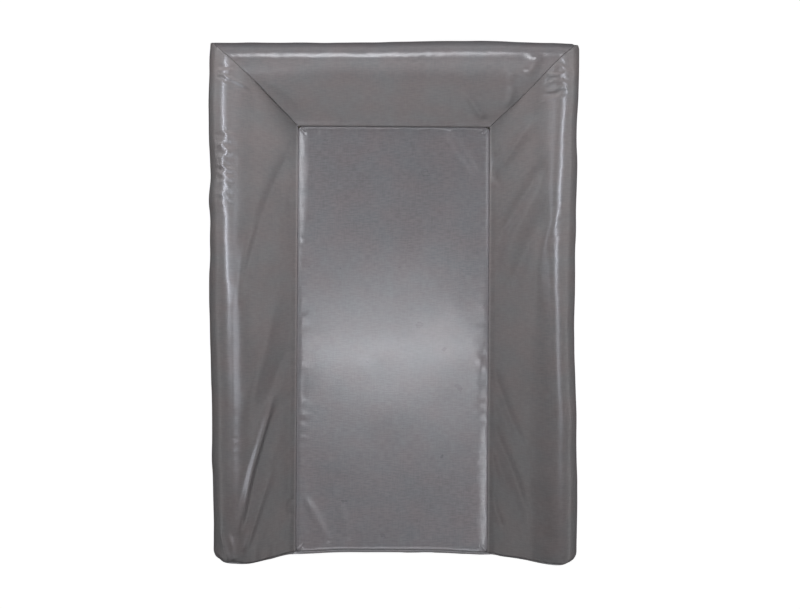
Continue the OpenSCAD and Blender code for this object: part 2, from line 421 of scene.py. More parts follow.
def padding_waves(arc, along, height, seed):
    """Slow undulation of the padding."""
    waves = height * fractal(arc / 62.0, along / 85.0, seed, 2)
    return waves * smooth(arc, arc_at(4), arc_at(25))


def ridge_crumples(arc, y, left):
    """Crumples over a side's ridge: a wriggling crest line with finer creases across it."""
    top = RIDGE_ARC + 3
    if left:
        crumpled = smooth(y, 100, 150) * (1 - smooth(y, 214, 232)) + 0.10
        creased = 0.9 * smooth(y, 276, 288) * (1 - smooth(y, 306, 316))
    else:
        crumpled = 0.12 + 0.35 * bump(y, 92, 44)
        creased = 0.8 * bump(y, 296, 22)
    wriggle = noise(y / 5.6, 0.5, 31) + 0.6 * noise(y / 3.1, 4.5, 32)
    zigzag = y + 0.9 * (arc - top) * np.sign(noise(y / 19.0, 0.5, 35) + 0.01)
    coarse = bump(arc, top, 12.0) * (0.30 * crumpled + 0.45 * creased)
    fine = bump(arc, top, 15.0) * (0.14 * crumpled + 0.25 * creased)
    return ((arc - top) * 0.26 * crumpled * wriggle * bump(arc, top, 9.0)
            + coarse * noise(zigzag / 6.0, arc / 9.0, 36)
            + fine * noise(zigzag / 3.6, arc / 5.0, 37))


def side_relief(arc, y, left):
    """How far the cloth of a left or right side stands out along its normal."""
    relief = panel_folds(arc, y, LEFT_FOLDS if left else RIGHT_FOLDS)
    relief = relief + inner_gathers(
        arc, y, coarse=(0.42, 1.7 if left else 5.3, 21), fine=(0.25, 2.2, 22))
    foot_gathers = noise(arc / 12.0, 4.4 if left else 8.1, 23)
    relief = relief + 0.5 * bump(y, FOOT_Y, 16.0) * foot_gathers
    relief = relief + ridge_crumples(arc, y, left)
    return relief + padding_waves(arc, y, height=0.8, seed=40 if left else 44)


def head_relief(arc, x):
    """How far the cloth of the head side stands out along its normal."""
    relief = panel_folds(arc, x, HEAD_FOLDS)
    relief = relief + inner_gathers(arc, x, coarse=(0.42, 9.7, 24), fine=(0.22, 3.2, 25))
    ridge = bump(arc, RIDGE_ARC + 3, 17.0)
    relief = relief + ridge * 0.20 * noise(x / 8.0, arc / 13.0, 33)
    relief = relief + ridge * 0.12 * noise(x / 4.4, arc / 6.5, 34)
    return relief + padding_waves(arc, x, height=0.7, seed=47)


# ---------------------------------------------------------------- plan of the raised sides
def side_outline(y, left):
    """How far a side's outer wall stands out from (+) or in from (-) its nominal line."""
    if left:
        return (-1.4 + 3.0 * bump(y, 262, 62) + 1.2 * bump(y, 128, 16) - 1.0 * bump(y, 163, 14)
                - 3.6 * smooth(-y, 160, 320) - 3.8 * smooth(-y, -20, 190)
                + 0.5 * noise(y / 27.0, 3.1, 11))
    return (-2.0 + 1.6 * smooth(y, 235, 275) - 3.2 * bump(y, -30, 85)
            + 2.2 * smooth(-y, 60, 160) + 0.4 * noise(y / 31.0, 7.7, 12))


def wall_shift(y, left):
    """A side wall's whole shift in plan: its outline and its rounded foot corner."""
    radius = FOOT_CORNER[left]
    from_foot = np.clip(np.asarray(y, float) - FOOT_Y, 0, 60)
    round_off = 1 - np.sqrt(1 - np.clip(1 - from_foot / radius, 0, 1) ** 2)
    return side_outline(y, left) - 0.8 * radius * round_off


def head_outline(x):
    """How far the head wall stands out from (+) or in from (-) its nominal line."""
    return (-3.0 - 2.4 * (1 - smooth(x, -110, 50)) + 2.2 * bump(x, 110, 70)
            - 1.4 * smooth(x, 190, 250) + 0.3 * noise(np.asarray(x, float) / 24.0, 2.5, 13))


def ridge_shift(y, left):
    """How far the ridge line wanders outwards (+) or inwards (-)."""
    if left:
        return 3.0 * smooth(y, 60, 200) - 4.5 * smooth(-y, -70, 50)
    return 5.0 * smooth(y, 150, 290) - 4.0 * bump(y, 60, 70) + 1.5 * smooth(-y, 40, 160)


def foot_shift(offset, left):
    """How far the foot end stands out beside the lying panel."""
    if left:
        return 5.2 * (1 - smooth(offset, 48, 84))
    return 4.4 * (1 - smooth(offset, 10, 50))


def panel_foot(x):
    """How far the foot edge of the lying panel stands out."""
    return 2.0 + 2.9 * smooth(np.abs(x), 60, 130)


def foot_bow(x, y):
    """Shift of the lying panel towards the foot, fading away from its foot edge."""
    return panel_foot(x) * (1 - smooth(y - PANEL_FOOT, 0, 70))


def mitre_pull(offset, left):
    """Shift of a mitre along y, strongest half-way up the slope; negative is towards the foot."""
    if left:
        return np.zeros_like(np.asarray(offset, float))
    return -3.6 * smooth(offset, 4, 40) * (1 - smooth(offset, 48, 92))


def mitre_normal(normal_u, normal_z):
    """Out of the mitre seam: halfway between the two panels' normals."""
    length = math.hypot(1.0, MITRE)
    half = normal_u / math.sqrt(2)
    normal = np.stack([half / length, half * MITRE / length, normal_z], 1)
    upright = np.abs(normal_z) < 0.25
    wall = np.stack([normal_u / length, normal_u * MITRE / length, normal_z], 1)
    normal[upright] = wall[upright]
    return normal / np.linalg.norm(normal, axis=1)[:, None]


def near_wall(arc):
    """0 on the slope, rising over the ridge to 1 on the wall."""
    return smooth(arc, RIDGE_ARC - 45, RIDGE_ARC + 40)


def side_x(arc, offset, y, left):
    """Distance of a side's surface from the pad's centre line, with its wall shifted."""
    down_wall = smooth(arc, RIDGE_ARC - 10, RIDGE_ARC + 26)
    shift = side_outline(y, left) * (1 - down_wall) + wall_shift(y, left) * down_wall
    return HALF_PANEL + offset + near_wall(arc) * shift


def round_corner(x, y, radius, amount):
    """Rounds a head corner in plan; x is measured towards the corner's side."""
    in_x = radius - (HALF_WIDTH - 2.0 - x)
    in_y = radius - (HALF_LENGTH - 3.0 - y)
    part_x, part_y = np.clip(in_x, 1e-6, None), np.clip(in_y, 1e-6, None)
    shrink = np.maximum(part_x, part_y) / np.hypot(part_x, part_y)
    inside = (in_x > 0) & (in_y > 0)
    return (np.where(inside, x - amount * part_x * (1 - shrink), x),
            np.where(inside, y - amount * part_y * (1 - shrink), y))


# ---------------------------------------------------------------- the three raised sides
def panel_columns(start, end, start_radius, start_stretch, middle):
    """Places along a raised side with the seam rolls at both ends, and how deep each one dips.

    start and end hold the seams' places for each section line; the roll at the end is a mitre's.
    """
    first, last = seam_lines(start_radius), seam_lines(MITRE_ROLL)[::-1]
    flat_start = start + start_radius * start_stretch
    flat_end = end - MITRE_ROLL * MITRE_STRETCH
    columns = [start + inset * start_stretch for inset, _ in first]
    columns += [flat_start + (flat_end - flat_start) * share for share in middle]
    columns += [end - inset * MITRE_STRETCH for inset, _ in last]
    dips = [dip for _, dip in first] + [0.0] * len(middle) + [dip for _, dip in last]
    return np.stack(columns, 1), np.array(dips)


def spread(values, columns):
    return np.repeat(values[:, None], columns, 1)


def shape_panel(points, normals, down, relief, arc, dips):
    """Lifts the folds along the normals, then rolls the ends down into their seams."""
    hold = np.clip(1 - dips / 2.0, 0, 1)[None, :] * smooth(arc, 7.0, 13.0)
    hold = hold * (1 - smooth(arc, SECTION_END - 20, SECTION_END - 12))
    points = points + normals * (relief * hold)[..., None]
    ramp = smooth(arc, 5.0, 14.0)
    ramp = ramp * (1 - 0.65 * smooth(arc, SECTION_END - 16, SECTION_END - 8))
    return points - down * (dips[None, :] * ramp)[..., None]


def build_side(left):
    """Points and cloth coordinates of a side, and its grid of (arc, y, dips)."""
    sign = side_sign(left)
    offset, height, normal_u, normal_z = section_at(SECTION_LINES)
    before_wall = 1 - smooth(SECTION_LINES, RIDGE_ARC, RIDGE_ARC + 20)
    length = HALF_LENGTH * 2
    y, dips = panel_columns(
        start=FOOT_SEAM_Y - foot_shift(offset, left) * before_wall,
        end=HEAD_SEAM_Y + offset * MITRE - 0.01,
        start_radius=FOOT_ROLL, start_stretch=1.0,
        middle=fine_ends(length, 2.7, 14, 1.6) / length)
    count = y.shape[1]
    arc, offset, z = (spread(v, count) for v in (SECTION_LINES, offset, height))
    wall = near_wall(arc)
    from_mitre = HEAD_SEAM_Y + offset * MITRE - y
    over_ridge = smooth(arc, SLOPE_ARC, RIDGE_ARC) * (1 - smooth(arc, RIDGE_ARC, RIDGE_ARC + 46))
    x = side_x(arc, offset, y, left)
    x = x + ridge_shift(y, left) * over_ridge * smooth(from_mitre, 2, 45)
    head_shift = wall * head_outline(sign * (HALF_PANEL + offset)) + mitre_pull(offset, left)
    moved_y = y + head_shift * (1 - smooth(from_mitre, 2, 70))
    x, moved_y = round_corner(x, moved_y, HEAD_CORNER[left], wall)
    normals = np.stack([spread(normal_u, count), 0 * y, spread(normal_z, count)], 2)
    down = normals.copy()
    down[:, -SEAM_LINES:] = mitre_normal(normal_u, normal_z)[:, None]
    points = np.stack([x, moved_y, z], 2)
    points = shape_panel(points, normals, down, side_relief(arc, y, left), arc, dips)
    points[..., 0] *= sign
    return points, np.stack([arc, y], 2), (arc, y, dips)


def build_head():
    """Points and cloth coordinates of the head side, and its grid of (arc, x, dips)."""
    offset, height, normal_u, normal_z = section_at(SECTION_LINES)
    seam_x = HALF_PANEL + offset - 0.01
    width = HALF_WIDTH * 2
    x, dips = panel_columns(
        start=-seam_x, end=seam_x, start_radius=MITRE_ROLL, start_stretch=MITRE_STRETCH,
        middle=fine_ends(width, 3.2, 14, 1.8) / width)
    count = x.shape[1]
    arc, offset, z = (spread(v, count) for v in (SECTION_LINES, offset, height))
    wall = near_wall(arc)
    nominal_y = HEAD_SEAM_Y + offset * MITRE
    y = nominal_y + wall * head_outline(x)
    # near each corner the sheet moves with the side panel it meets
    for left in (True, False):
        sign = side_sign(left)
        near = 1 - smooth(HALF_PANEL + offset - sign * x, 2, 70)
        x = x + sign * near * wall * side_outline(nominal_y, left)
        y = y + near * mitre_pull(offset, left)
        outward, y = round_corner(sign * x, y, HEAD_CORNER[left], wall * (sign * x > 0))
        x = sign * outward
    normals = np.stack([0 * x, spread(normal_u, count), spread(normal_z, count)], 2)
    down = normals.copy()
    mitre = mitre_normal(normal_u, normal_z)
    down[:, :SEAM_LINES] = (mitre * np.array([-1, 1, 1]))[:, None]
    down[:, -SEAM_LINES:] = mitre[:, None]
    points = np.stack([x, y, z], 2)
    points = shape_panel(points, normals, down, head_relief(arc, x), arc, dips)
    return points, np.stack([x, arc], 2), (arc, x, dips)


# ---------------------------------------------------------------- lying panel
PANEL_DROP = 3.0                              # how far its rim falls to the seam
PANEL_CORNER = 7.0                            # plan radius of its corners


def ringed(values, low, high):
    """Adds two grid lines at each end, for the rings that go into the seam."""
    return np.concatenate([[low, low], values, [high, high]])


def border(k):
    """The four grid lines of the k-th ring from the edge."""
    return np.s_[k, :], np.s_[-1 - k, :], np.s_[:, k], np.s_[:, -1 - k]


def corner_tucks():
    """Rows of a small tuck and a crest beside it at each corner of the lying panel."""
    rows = []
    for side in (-1, 1):
        for end, edge in ((-1, PANEL_FOOT), (1, PANEL_HEAD)):
            outer_x, outer_y = side * (PANEL_X - 2), edge - end * 2
            inner_x, inner_y = side * (PANEL_X - 12), edge - end * 12
            rows.append(([(outer_x, outer_y), (inner_x, inner_y)], -1.5, 1.6, (0.1, 0.5)))
            crest = [(outer_x - side * 3.5, outer_y), (inner_x, inner_y + end * 4)]
            rows.append((crest, 0.7, 1.6, (0.1, 0.5)))
    return rows


def centre_relief(x, y, from_side, from_end, at_head, from_edge):
    """Faint drag folds, the gathers of the seam, corner tucks and slow waves."""
    relief = drag_folds(x, y, CENTRE_FOLDS)
    side = np.sign(x)
    near_side, near_end = bump(from_side, 9, 7.0), bump(from_end, 9, 7.0)
    # (where, along, noise row, coarse height, fine height, first seed)
    for near, along, row, coarse, fine, seed in (
            (near_side, y, side, 0.32, 0.16, 53), (near_end, x, at_head, 0.40, 0.18, 55)):
        relief = relief + coarse * near * noise(along / 8.5, row * 2.0, seed)
        relief = relief + fine * near * noise(along / 4.4, row * 5.0, seed + 1)
    # two small dimples by the right edge
    for dimple_y in (-80, -110):
        relief = relief - 0.35 * bump(x, 127, 5.0) * bump(y, dimple_y, 5.0)
    relief = relief + drag_folds(x, y, corner_tucks())
    return relief + 0.35 * fractal(x / 90.0, y / 110.0, 57, 2) * smooth(from_edge, 6, 40)


def build_centre():
    length = PANEL_HEAD - PANEL_FOOT
    grid_x = ringed(fine_ends(2 * PANEL_X, 3.2, 20, 1.3) - PANEL_X, -PANEL_X, PANEL_X)
    grid_y = ringed(fine_ends(length, 3.2, 12, 1.3) + PANEL_FOOT, PANEL_FOOT, PANEL_HEAD)
    x, y = np.meshgrid(grid_x, grid_y, indexing="ij")
    cloth_uv = np.stack([x, y], 2)

    # round the corners of the grid in plan
    radius = PANEL_CORNER
    from_side, from_end = PANEL_X - np.abs(x), np.minimum(y - PANEL_FOOT, PANEL_HEAD - y)
    part_x, part_y = np.clip(1 - from_side / radius, 0, 1), np.clip(1 - from_end / radius, 0, 1)
    round_x = part_x * np.sqrt(1 - part_y * part_y / 2)
    round_y = part_y * np.sqrt(1 - part_x * part_x / 2)
    at_head = (PANEL_HEAD - y) < (y - PANEL_FOOT)
    from_side = np.where(from_side < radius, (1 - round_x) * radius, from_side)
    from_end = np.where(from_end < radius, (1 - round_y) * radius, from_end)
    x = np.sign(x) * (PANEL_X - from_side)
    y = np.where(at_head, PANEL_HEAD - from_end, PANEL_FOOT + from_end)
    corner = np.hypot(np.clip(radius - from_side, 0, None), np.clip(radius - from_end, 0, None))
    from_edge = np.where((from_side < radius) & (from_end < radius), radius - corner,
                         np.minimum(from_side, from_end))
    from_edge = np.clip(from_edge, 0, None)

    # the padded rim is broader in some stretches than in others
    headward = smooth(y, 20, 150)
    left_rim = 15.5 * headward + 8.5 * (1 - headward)
    headward = smooth(y, -150, -20)
    right_rim = 7.0 * headward + 15.0 * (1 - headward)
    rim = np.where(from_side < from_end, np.where(x < 0, left_rim, right_rim), 8.0)
    rim = rim + 0.8 * noise(y / 60.0, np.sign(x) * 3.0, 51) + 0.5 * noise(x / 40.0, 8.8, 52)
    fall = np.clip(1 - from_edge / rim, 0, 1)
    lip = 1 - np.sqrt(np.clip(1 - fall ** 2.2, 0, 1))
    flank = 0.20 * fall + 0.55 * fall * fall
    flank = flank + 0.25 * (1 - np.sqrt(np.clip(1 - fall ** 8, 0, 1)))
    drop = PANEL_DROP * (lip + (flank - lip) * smooth(rim, 9, 14))
    lengthwise = (y - 0.5 * (PANEL_FOOT + PANEL_HEAD)) / (0.5 * length)
    crown = 1.0 * (1 - (x / PANEL_X) ** 2) * (1 - lengthwise ** 4)
    z = PANEL_TOP - 0.2 + crown - drop
    relief = centre_relief(x, y, from_side, from_end, at_head, from_edge)
    z = z + relief * smooth(from_edge, 0.2, 5.0)
    y = y - foot_bow(x, y)
    for k, sink in ((0, -8.0), (1, -3.2)):
        for ring in border(k):
            z[ring] = np.minimum(z[ring], PANEL_TOP - 0.2 - PANEL_DROP + sink)
    return np.stack([x, y, z], 2), cloth_uv


# ---------------------------------------------------------------- foot end wall
def build_foot():
    """Wedge, flat, wedge: ruled between the top edge and the bottom seam, with rolled edges."""
    arc_start, arc_end = 10.0, SECTION_END - 15.0
    arc = SECTION_LINES[(SECTION_LINES > arc_start) & (SECTION_LINES < arc_end)]
    arc = np.concatenate([[arc_start], arc, [arc_end]])
    offset, height, normal_u, normal_z = section_at(arc)
    inset = FOOT_ROLL + 0.1
    side_z = height - normal_z * inset
    top, low = {}, {}
    for left in (True, False):
        wall = side_x(arc, offset, np.full_like(offset, FOOT_SEAM_Y), left)
        top[left] = wall - normal_u * inset
        share = (arc - arc_start) / (arc_end - arc_start)
        low[left] = HALF_PANEL + 1 + (top[left][-1] - HALF_PANEL - 1) * share
    flat_x = (graded(2 * HALF_PANEL - 2, 3.2, []) - HALF_PANEL + 1)[1:-1]

    def across(left_part, flat, right_part):
        """From the left wall inwards, over the flat, outwards to the right wall."""
        return np.concatenate([left_part[::-1], flat, right_part])

    top_x = across(-top[True], flat_x, top[False])
    top_z = across(side_z, np.full_like(flat_x, SEAM_Z + 2.4), side_z)
    edge_nx = across(-normal_u, np.zeros_like(flat_x), normal_u)
    edge_nz = across(normal_z, np.ones_like(flat_x), normal_z)
    low_x = across(-low[True], flat_x, low[False])
    for _ in range(2):
        softened = np.convolve(np.pad(top_z, 1, "edge"), [0.25, 0.5, 0.25], "valid")
        top_z = np.where(np.abs(top_x) < HALF_PANEL + 8, softened, top_z)

    low_z, radius, spans = 4.4, 2.2, 24
    roll = [(0.0, 7.0), (0.0, 4.4)] + quarter_roll(radius)   # (inset, depth behind the wall)
    rows = [(top_x - edge_nx * i, top_z - edge_nz * i, np.full_like(top_x, d)) for i, d in roll]
    wall_low = np.full_like(low_x, low_z + radius)
    wall_top_x = top_x - edge_nx * radius
    wall_top = np.maximum(top_z - edge_nz * radius, wall_low + 0.5)
    for k in range(spans + 1):
        share = k / spans
        rows.append((wall_top_x + (low_x - wall_top_x) * share,
                     wall_top + (wall_low - wall_top) * share, np.zeros_like(low_x)))
    for i, d in roll[::-1]:
        rows.append((low_x, np.full_like(low_x, low_z + i * 0.9), np.full_like(low_x, d)))
    x, z, behind = (np.stack(part, 1) for part in zip(*rows))
    z = np.maximum(z, 3.2)

    inner = np.zeros(x.shape[1])
    inner[SEAM_LINES:-SEAM_LINES] = 1
    flat = 1 - smooth(np.abs(x), HALF_PANEL - 6, HALF_PANEL + 22)
    bulge = inner[None, :] * (1.0 * smooth(z, 5, 16) * (1 - smooth(z, 55, 88))
                              + flat * 3.4 * bump(z, 14, 7.5))
    wobble = inner[None, :] * (0.45 * fractal(x / 28.0, z / 22.0, 61, 2)
                               + 0.25 * noise(x / 9.0, z / 14.0, 62))
    beside = np.where(x < 0, foot_shift(-x - HALF_PANEL, True), foot_shift(x - HALF_PANEL, False))
    stand_out = np.where(np.abs(x) < HALF_PANEL, panel_foot(x), beside)
    for _ in range(6):
        stand_out[1:-1] = 0.25 * stand_out[:-2] + 0.5 * stand_out[1:-1] + 0.25 * stand_out[2:]
    y = FOOT_Y + behind - bulge - wobble * smooth(z, 4, 12) - stand_out * smooth(z, 4, 13)
    return np.stack([x, y, z], 2), np.stack([x, z], 2)


# ---------------------------------------------------------------- underside
def build_under():
    half, foot, head = HALF_WIDTH - 5.4, FOOT_Y + 2.6, HALF_LENGTH - 5.6
    grid_x = ringed(fine_ends(2 * half, 6.0, 16, 1.6) - half, -half, half)
    grid_y = ringed(fine_ends(head - foot, 6.0, 16, 1.6) + foot, foot, head)
    x, y = np.meshgrid(grid_x, grid_y, indexing="ij")
    cloth_uv = np.stack([x, y], 2)
    from_edge = np.minimum(half - np.abs(x), np.minimum(y - foot, head - y))
    from_edge = np.clip(from_edge, 0, None)
    rise = np.clip(1 - from_edge / 8.0, 0, 1)
    z = 0.12 + 3.4 * (1 - np.sqrt(np.clip(1 - rise ** 2.2, 0, 1)))
    z = z + 0.12 * (1 + fractal(x / 70.0, y / 90.0, 71, 2)) * smooth(from_edge, 10, 30)
    gathers = 1 + noise((x + y) / 9.0, (x - y) / 9.0, 72)
    z = z + 0.30 * bump(from_edge, 5, 4) * gathers
    # the two outer rings turn inwards above the seam
    for k, (ring_z, inset) in enumerate(((3.79, 7.0), (3.70, 3.0))):
        for ring in border(k):
            z[ring] = ring_z
        x[k, :] += inset
        x[-1 - k, :] -= inset
        y[:, k] += inset
        y[:, -1 - k] -= inset
    for left in (True, False):
        sign = side_sign(left)
        x = x + sign * smooth(sign * x, 60, half - 10) * (wall_shift(y, left) + 0.6)
    return np.stack([x, y, z], 2), cloth_uv


# ---------------------------------------------------------------- stitches
STITCH_PITCH, STITCH_LENGTH, STITCH_RADIUS, STITCH_SIDES = 3.6, 2.7, 0.3, 6
STITCH_LIFT = 0.12                            # rise of a stitch's middle
# rings of one stitch: (place along it, share of the radius)
STITCH_RINGS = [(-0.5, 0.35), (-0.36, 0.9), (0.0, 1.0), (0.36, 0.9), (0.5, 0.35)]


def point_at(distance, arc, run):
    return np.array([np.interp(distance, arc, run[:, axis]) for axis in range(3)])


def stitches(name, runs):
    """Short thread stitches along each run of points in mm."""
    sides, last = STITCH_SIDES, len(STITCH_RINGS) - 1
    verts, faces = [], []
    angles = np.arange(sides) / sides * 2 * math.pi
    for run in runs:
        run = np.array(run, float)
        arc = arc_of(run)
        count = int(arc[-1] / STITCH_PITCH)
        for k in range(count):
            place = (k + 0.5) * arc[-1] / count
            centre = point_at(place, arc, run)
            way = (point_at(min(place + 1.0, arc[-1]), arc, run)
                   - point_at(max(place - 1.0, 0), arc, run))
            way = way / (np.linalg.norm(way) + 1e-9)
            helper = np.array([0, 0, 1.0]) if abs(way[2]) < 0.9 else np.array([1.0, 0, 0])
            across = np.cross(way, helper)
            across /= np.linalg.norm(across)
            up = np.cross(across, way)
            base = len(verts)
            for along, share in STITCH_RINGS:
                lift = STITCH_LIFT * (1 - (2 * along) ** 2)
                for angle in angles:
                    spoke = across * math.cos(angle) + up * math.sin(angle)
                    verts.append(centre + way * along * STITCH_LENGTH
                                 + spoke * STITCH_RADIUS * share + up * lift)
            for ring in range(last):
                low, high = base + ring * sides, base + (ring + 1) * sides
                for m in range(sides):
                    after = (m + 1) % sides
                    faces.append((low + m, low + after, high + after, high + m))
            faces.append(tuple(base + m for m in reversed(range(sides))))
            faces.append(tuple(base + last * sides + m for m in range(sides)))
    mesh = bpy.data.meshes.new(name)
    mesh.from_pydata([tuple(v / MM) for v in verts], [], faces)
    shade_smooth(mesh)
    mesh.update()
    return add_object(name, mesh)


def centre_runs():
    """The seam round the lying panel: left, right, head and foot."""
    x, z = HALF_PANEL + 0.1, SEAM_Z - 1.2
    foot, head, spans = FOOT_Y + 3.4, HEAD_SEAM_Y + 0.1, 40
    ends = [((-x, foot), (-x, head - 1)), ((x, foot), (x, head - 1)),
            ((-x + 1, head), (x - 1, head)), ((-x + 1, FOOT_Y + 2.4), (x - 1, FOOT_Y + 2.4))]
    runs = []
    for start, end in ends:
        start, end = np.array([*start, z]), np.array([*end, z])
        run = start + (end - start) * np.arange(spans + 1)[:, None] / spans
        run[:, 1] -= foot_bow(run[:, 0], run[:, 1])
        runs.append(run)
    return runs


def edge_run(cover, column):
    """One grid column of a raised side, without its ends."""
    keep = (SECTION_LINES > 14) & (SECTION_LINES < SECTION_END - 14)
    return cover.points[:, column][keep]


def base_runs():
    """The bottom seam: left, right, head and foot."""
    z = 3.9
    runs = []
    y = np.linspace(FOOT_Y + 6, HALF_LENGTH - 7, 160)
    for left in (True, False):
        x = side_sign(left) * (HALF_WIDTH - 5.0 + wall_shift(y, left))
        runs.append(np.column_stack([x, y, np.full_like(y, z)]))
    for edge_y in (HALF_LENGTH - 5.4, FOOT_Y + 2.6):
        x = np.linspace(-HALF_WIDTH + 14, HALF_WIDTH - 14, 120)
        runs.append(np.column_stack([x, np.full_like(x, edge_y), np.full_like(x, z)]))
    return runs


# ---------------------------------------------------------------- fillings
def filling(name, node, inset, voxel, wobble, seed):
    """A soft block from a CAD filling: remeshed, rounded, drawn in, its faces uneven."""
    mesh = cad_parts[node].data.copy()
    mesh.name = name
    mesh.materials.clear()
    obj = add_object(name, mesh)
    for attribute in list(mesh.attributes):
        if attribute.name.startswith(("custom", "sharp")):
            mesh.attributes.remove(attribute)
    remesh = obj.modifiers.new("remesh", "REMESH")
    remesh.mode = "VOXEL"
    remesh.voxel_size = voxel / MM
    rounding = obj.modifiers.new("round", "SMOOTH")
    rounding.factor = 0.5
    rounding.iterations = 4
    depsgraph = bpy.context.evaluated_depsgraph_get()
    mesh = bpy.data.meshes.new_from_object(obj.evaluated_get(depsgraph), depsgraph=depsgraph)
    obj.modifiers.clear()
    obj.data = mesh
    points = read_vectors(mesh.vertices, "co") * MM
    normals = read_vectors(mesh.vertex_normals, "vector")
    x, y, z = points.T
    bottom = z.min()
    uneven = fractal(x / 30.0 + z / 21.0, y / 30.0, seed, 3)
    above = smooth(z, bottom, bottom + 1.5)[:, None]
    write_points(mesh, points - normals * (inset - wobble * uneven)[:, None] * above)
    shade_smooth(mesh)
    mesh.update()
    return obj


def keep_under(obj, skins, gap):
    """Moves every point of a filling that is nearer than gap to a cover sheet back inside."""
    reach, trusted = 0.012, 0.011
    mesh = obj.data
    points = read_vectors(mesh.vertices, "co")
    for _ in range(2):
        for skin in skins:
            for k in range(len(points)):
                hit, normal, _index, distance = skin.find_nearest(Vector(points[k]), reach)
                if hit is None:
                    continue
                depth = -(Vector(points[k]) - hit).dot(normal)
                if depth < gap / MM and distance < trusted:
                    points[k] += np.array(normal) * (depth - gap / MM)
    mesh.vertices.foreach_set("co", points.ravel())
    mesh.update()


# ---------------------------------------------------------------- materials
class Tree:
    """Short-hand for building a node tree."""

    def __init__(self, tree):
        self.nodes, self.links = tree.nodes, tree.links

    def add(self, kind, **settings):
        node = self.nodes.new("ShaderNode" + kind)
        for key, value in settings.items():
            setattr(node, key, value)
        return node

    def put(self, socket, value):
        """Links a socket, or sets its value."""
        if isinstance(value, bpy.types.NodeSocket):
            self.links.new(value, socket)
        else:
            socket.default_value = value

    def math(self, operation, a, b=0.0, c=None):
        node = self.add("Math", operation=operation)
        self.put(node.inputs[0], a)
        self.put(node.inputs[1], b)
        if c is not None:
            self.put(node.inputs[2], c)
        return node.outputs[0]

    def separate(self, vector):
        node = self.add("SeparateXYZ")
        self.put(node.inputs[0], vector)
        return node.outputs

    def remap(self, value, low, high, to_low=0.0, to_high=1.0, **settings):
        node = self.add("MapRange", **settings)
        for k, v in enumerate((value, low, high, to_low, to_high)):
            self.put(node.inputs[k], v)
        return node.outputs[0]


class Surface(Tree):
    """A material with one Principled shader."""

    def __init__(self, name):
        self.mat = bpy.data.materials.new(name)
        self.mat.use_nodes = True
        self.mat.node_tree.nodes.clear()
        super().__init__(self.mat.node_tree)
        output = self.add("OutputMaterial")
        self.bsdf = self.add("BsdfPrincipled")
        self.put(output.inputs["Surface"], self.bsdf.outputs[0])

    def set(self, name, value):
        self.put(self.bsdf.inputs[name], value)

    def object_coords(self):
        return self.add("TexCoord").outputs["Object"]

    def noise(self, vector, stretch=None, scale=1.0, detail=2.0, rough=0.5, dims="2D"):
        """Noise texture; stretch multiplies the vector's parts first."""
        if stretch is not None:
            multiply = self.add("VectorMath", operation="MULTIPLY")
            self.put(multiply.inputs[0], vector)
            multiply.inputs[1].default_value = (*stretch, 0.0)[:3]
            vector = multiply.outputs[0]
        node = self.add("TexNoise", noise_dimensions=dims)
        for key, value in (("Vector", vector), ("Scale", scale), ("Detail", detail),
                           ("Roughness", rough)):
            self.put(node.inputs[key], value)
        return node.outputs["Fac"]

    def about_zero(self, value, amount):
        """Turns 0..1 into an amount either side of zero."""
        return self.math("MULTIPLY", self.math("SUBTRACT", value, 0.5), amount)

    def mix(self, factor, first, last):
        node = self.add("Mix", data_type="RGBA")
        for k, value in ((0, factor), (6, first), (7, last)):
            self.put(node.inputs[k], value)
        return node.outputs[2]

    def scale(self, colour, factor):
        node = self.add("VectorMath", operation="SCALE")
        self.put(node.inputs[0], colour)
        self.put(node.inputs["Scale"], factor)
        return node.outputs[0]

    def bump(self, height, strength, distance, normal=None):
        node = self.add("Bump")
        self.put(node.inputs["Strength"], strength)
        self.put(node.inputs["Distance"], distance)
        self.put(node.inputs["Height"], height)
        if normal is not None:
            self.put(node.inputs["Normal"], normal)
        return node.outputs[0]


COVER_RGB = (0.138, 0.129, 0.132)
WARM, COOL = (1.03, 0.99, 0.985), (0.965, 1.01, 1.02)   # casts that mottle the cover
THREAD_PITCH = 0.00105                        # of the cover's weave


